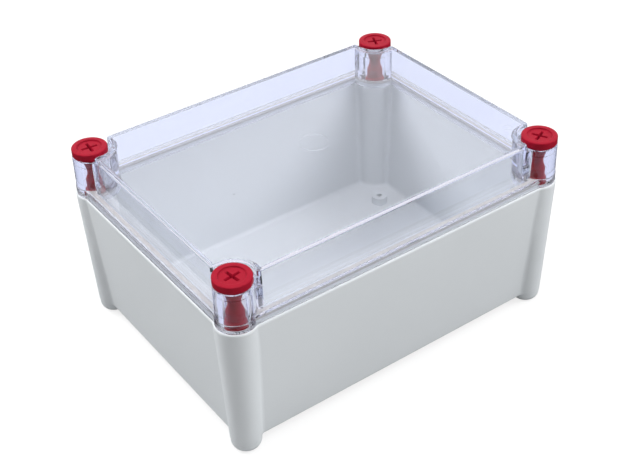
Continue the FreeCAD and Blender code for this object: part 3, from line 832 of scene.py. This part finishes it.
@dataclass
class CaptiveScrew:
    """Red screw of one corner, in millimetres about its axis, with its head's seat at zero."""

    corner: Corner
    pitch_long: float = 170.0
    pitch_short: float = 123.0
    seat_level: float = 91.8
    head_radius: float = 8.5
    head_height: float = 4.1
    head_top_round: float = 0.5
    head_foot_round: float = 1.1
    dish_hub: float = 0.4
    dish_radius: float = 6.0
    dish_depth: float = 0.6
    dish_bevel: float = 0.25
    dish_foot_round: float = 0.12
    dish_rim_round: float = 0.22
    seat_width: float = 1.6
    step_width: float = 1.7
    step_rise: float = 0.12
    neck_radius: float = 4.7
    neck_length: float = 7.0
    waist_radius: float = 2.9
    waist_length: float = 2.6
    waist_round: float = 6.0
    flare_length: float = 2.8
    flare_round: float = 2.0
    shank_radius: float = 4.1
    shank_foot: float = 0.4
    small_round: float = 0.3
    sharp_angle: float = 32.0
    segments: int = 96
    thread: ScrewThread = ScrewThread()
    recess: CrossRecess = CrossRecess()

    @property
    def dish_level(self) -> float:
        """Level of the dish in the head."""
        return self.head_height - self.dish_depth

    def outline(self) -> list[Point2]:
        """Half section of the screw above its thread.

        Returns:
            Points (radius, level) from the middle of the dish down to the start of the thread.
        """
        waist_end = -self.neck_length - self.waist_length
        thread_start = -self.thread.start
        return Mesher.rounded([
            (self.dish_hub, self.dish_level, 0),
            (self.dish_radius - self.dish_bevel, self.dish_level, self.dish_foot_round),
            (self.dish_radius, self.head_height, self.dish_rim_round),
            (self.head_radius, self.head_height, self.head_top_round),
            (self.head_radius, 0.0, self.head_foot_round),
            (self.head_radius - self.seat_width, 0.0, 0),
            (self.head_radius - self.step_width, self.step_rise, 0),
            (self.neck_radius, self.step_rise, self.small_round),
            (self.waist_radius, -self.neck_length, self.waist_round),
            (self.waist_radius, waist_end, self.waist_round),
            (self.shank_radius, waist_end - self.flare_length, self.flare_round),
            (self.shank_radius, thread_start + self.shank_foot, self.small_round),
            (self.thread.core_radius, thread_start, 0),
        ])

    def rings(self) -> list[list[Vector]]:
        """Every ring of the screw.

        Returns:
            Rings from the dish to the tip.
        """
        angles = Mesher.around(self.segments)
        turned = [[Vector((radius * math.cos(a), radius * math.sin(a), level)) for a in angles]
                  for radius, level in self.outline()]
        return turned + self.thread.rings(self.segments)

    def build(self, material: bpy.types.Material) -> bpy.types.Object:
        """Build the screw where it stands in the box.

        Args:
            material: Finish of the screw.

        Returns:
            The screw, riding on its own body.
        """
        piece = Mesher.skin(f"{self.corner.node}_detail", self.rings(), closed=False, caps=True)
        arms = self.recess.cutters(self.corner.node, self.dish_level)
        for arm in arms:
            cut = piece.modifiers.new(arm.name, "BOOLEAN")
            cut.object, cut.operation, cut.solver = arm, "DIFFERENCE", "EXACT"
        Mesher.apply_modifiers(piece)
        for arm in arms:
            bpy.data.objects.remove(arm)
        sx, sy, turn = self.corner.value
        axis = Vector((sx * self.pitch_long / 2, sy * self.pitch_short / 2, self.seat_level)) * MM
        piece.data.transform(Matrix.Translation(axis)
                             @ Matrix.Rotation(math.radians(turn), 4, "Z")
                             @ Matrix.Scale(MM, 4))
        Mesher.smooth(piece, self.sharp_angle)
        Mesher.dress(piece, material)
        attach(piece, self.corner.node)
        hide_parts(self.corner.node)
        return piece


@dataclass
class SealStrip:
    """Foamed seal in the groove of the lid, in millimetres."""

    half_long: float = 85.0
    half_short: float = 61.5
    flare: float = 4.9
    radius: float = 8.6
    half_width: float = 1.1
    low: float = 73.5
    height: float = 1.5
    low_round: float = 0.45
    top_round: float = 0.27
    seam: float = 0.01
    section_steps: int = 4
    arc_steps: int = 20
    side_steps: int = 24
    sharp_angle: float = 50.0

    def outline(self, offset: float, level: float) -> list[Vector]:
        """Line that runs round the box at an offset from the middle of the strip.

        Args:
            offset: Distance outwards.
            level: Level of the line.

        Returns:
            Points in order round the box.
        """
        out, size = self.flare + offset, self.radius - offset
        lean = math.asin(out / size)
        turn = -(math.pi / 2 + 2 * lean)
        arcs = []
        for quarter, (sx, sy) in enumerate(((-1, -1), (1, -1), (1, 1), (-1, 1))):
            axis = Vector((sx * self.half_long, sy * self.half_short, level))
            start = quarter * math.pi / 2 + math.pi / 2 + lean
            angles = (start + turn * k / self.arc_steps for k in range(self.arc_steps + 1))
            arcs.append([axis + Vector((math.cos(a), math.sin(a), 0)) * size for a in angles])
        points: list[Vector] = []
        for arc, following in zip(arcs, arcs[1:] + arcs[:1]):
            points += arc
            points += [arc[-1].lerp(following[0], k / self.side_steps)
                       for k in range(1, self.side_steps)]
        return points

    def section(self) -> list[Point2]:
        """Section of the strip.

        Returns:
            Points (offset, level), round from the middle of its lower side.
        """
        wide, top = self.half_width, self.low + self.height
        return Mesher.rounded([
            (0, self.low, 0),
            (wide, self.low, self.low_round),
            (wide, top, self.top_round),
            (-wide, top, self.top_round),
            (-wide, self.low, self.low_round),
            (-self.seam, self.low, 0),
        ], self.section_steps)

    def build(self, material: bpy.types.Material) -> bpy.types.Object:
        """Build the strip.

        Args:
            material: Finish of the seal.

        Returns:
            The seal, riding on the lid.
        """
        rings = [[point * MM for point in self.outline(offset, level)]
                 for offset, level in self.section()]
        piece = Mesher.skin("seal_strip", rings, closed=True, caps=False)
        Mesher.smooth(piece, self.sharp_angle)
        Mesher.dress(piece, material)
        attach(piece, "lid")
        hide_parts("lid_gasket")
        return piece


@dataclass
class Mouldings:
    """The two large mouldings, whose shape is the frame's own."""

    grey_node: str = "base"
    clear_node: str = "lid"

    def dress(self, grey: bpy.types.Material, clear: bpy.types.Material) -> None:
        """Give the mouldings their finishes.

        Args:
            grey: Finish of the base.
            clear: Finish of the lid.
        """
        for name, material in ((self.grey_node, grey), (self.clear_node, clear)):
            Mesher.dress(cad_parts[name], material)
            LOG.info("%s dressed in %s", name, material.name)


@dataclass(frozen=True)
class Lamp:
    """Soft square lamp: where it hangs, its side, its power in watts, and whether it glints.

    Glossy and clear surfaces mirror a lamp that glints, and any other only lights them.
    """

    name: str
    place: Point3
    side: float
    power: float
    glints: bool

    def hang(self, aim: Point3) -> None:
        """Hang the lamp so that it looks at a point.

        Args:
            aim: The point.
        """
        light = bpy.data.lights.new(self.name, "AREA")
        light.size, light.energy = self.side, self.power
        lamp = bpy.data.objects.new(self.name, light)
        lamp.visible_glossy = lamp.visible_transmission = self.glints
        lamp.location = self.place
        look = Vector(aim) - lamp.location
        lamp.rotation_euler = look.to_track_quat("-Z", "Y").to_euler()
        bpy.context.scene.collection.objects.link(lamp)


@dataclass(frozen=True)
class Studio:
    """White studio round the box: floor, even sky, soft lamps, and the camera."""

    eye: Point3 = (-0.268387, -0.383666, 0.386239)
    back: Point3 = (-0.45900815, -0.66135448, 0.59322995)
    right: Point3 = (0.80854697, -0.58768829, -0.02956802)
    lens: float = 67.726
    film_width: float = 36.0
    floor_half: float = 6.0
    sky: float = 0.33
    sky_tone: Colour = (0.97, 0.98, 1.0)
    dark: float = 0.32
    darkening: Point2 = (-0.1, 0.6)
    refracted: float = 0.85
    through_tone: Colour = (0.79, 0.83, 0.97)
    aim: Point3 = (0.0, 0.0, 0.05)
    lamps: tuple[Lamp, ...] = (
        Lamp("key", (1.06, -0.773, 0.97), 0.9, 19.0, glints=False),
        Lamp("key_sheen", (1.06, -0.773, 0.97), 0.9, 7.5, glints=True),
        Lamp("fill", (-0.70, 1.12, 0.97), 0.8, 30.0, glints=False),
        Lamp("top", (-0.25, -0.36, 1.55), 1.0, 11.0, glints=False),
        Lamp("top_sheen", (0.1, 0.1, 1.65), 1.0, 4.0, glints=True),
    )

    def build_floor(self) -> None:
        """Lay the floor."""
        half = self.floor_half
        corners = [Vector((sx * half, sy * half, 0))
                   for sx, sy in ((-1, -1), (1, -1), (1, 1), (-1, 1))]
        mesh = bpy.data.meshes.new("studio_floor")
        mesh.from_pydata(corners, [], [(0, 1, 2, 3)])
        floor = bpy.data.objects.new("studio_floor", mesh)
        bpy.context.scene.collection.objects.link(floor)
        Mesher.dress(floor, StudioFloor().build())

    def build_sky(self) -> None:
        """Light the scene evenly: white seen directly, and mirrored dark on the near side."""
        world = bpy.data.worlds.new("StudioSky")
        bpy.context.scene.world = world
        world.use_nodes = True
        world.node_tree.nodes.clear()
        bench = ShaderBench(world.node_tree)
        path = bench.add("ShaderNodeLightPath").outputs
        camera, refracted = path["Is Camera Ray"], path["Is Transmission Ray"]
        glow = bench.add("ShaderNodeBackground", {"Color": self.sky_tone, "Strength": self.sky})
        direction = bench.add("ShaderNodeTexCoord").outputs["Generated"]
        nearness = bench.add("ShaderNodeVectorMath", {0: direction, 1: self.back},
                             operation="DOT_PRODUCT").outputs["Value"]
        mirrored = bench.ramp(nearness, self.darkening, 1.0, self.dark, soft=True)
        veiled = bench.maths("MULTIPLY", refracted, self.refracted)
        strength = bench.maths("MAXIMUM", mirrored, bench.maths("MAXIMUM", veiled, camera))
        tone = bench.two_tone(refracted, WHITE, self.through_tone)
        white = bench.add("ShaderNodeBackground", {"Color": tone, "Strength": strength})
        seen = bench.maths("MAXIMUM", camera,
                           bench.maths("MAXIMUM", path["Is Glossy Ray"], refracted))
        surface = bench.blend(seen, glow.outputs[0], white.outputs[0])
        bench.add("ShaderNodeOutputWorld", {"Surface": surface})

    def build_camera(self) -> None:
        """Stand the camera where the box is seen from."""
        right, back = Vector(self.right), Vector(self.back)
        turn = Matrix((right, back.cross(right), back)).transposed().to_4x4()
        camera = bpy.data.objects.new("camera", bpy.data.cameras.new("camera"))
        camera.data.lens, camera.data.sensor_width = self.lens, self.film_width
        camera.matrix_world = Matrix.Translation(self.eye) @ turn
        bpy.context.scene.collection.objects.link(camera)
        bpy.context.scene.camera = camera

    def build(self) -> None:
        """Build the whole studio."""
        self.build_floor()
        self.build_sky()
        for lamp in self.lamps:
            lamp.hang(self.aim)
        self.build_camera()
        bpy.context.scene.view_settings.view_transform = "Standard"


def main() -> None:
    """Build the studio and the box, and report each piece."""
    logging.basicConfig(level=logging.INFO, format="%(name)s: %(message)s")
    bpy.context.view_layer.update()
    effects = SharedEffects()
    Studio().build()
    Mouldings().dress(GreyMoulding(effects).build(), ClearMoulding(effects).build())
    seal = SealStrip().build(SealFoam(effects).build())
    LOG.info("%s has %d faces", seal.name, len(seal.data.polygons))
    red = RedMoulding(effects).build()
    for corner in Corner:
        screw = CaptiveScrew(corner).build(red)
        LOG.info("%s has %d faces", screw.name, len(screw.data.polygons))


if __name__ == "__main__":
    main()
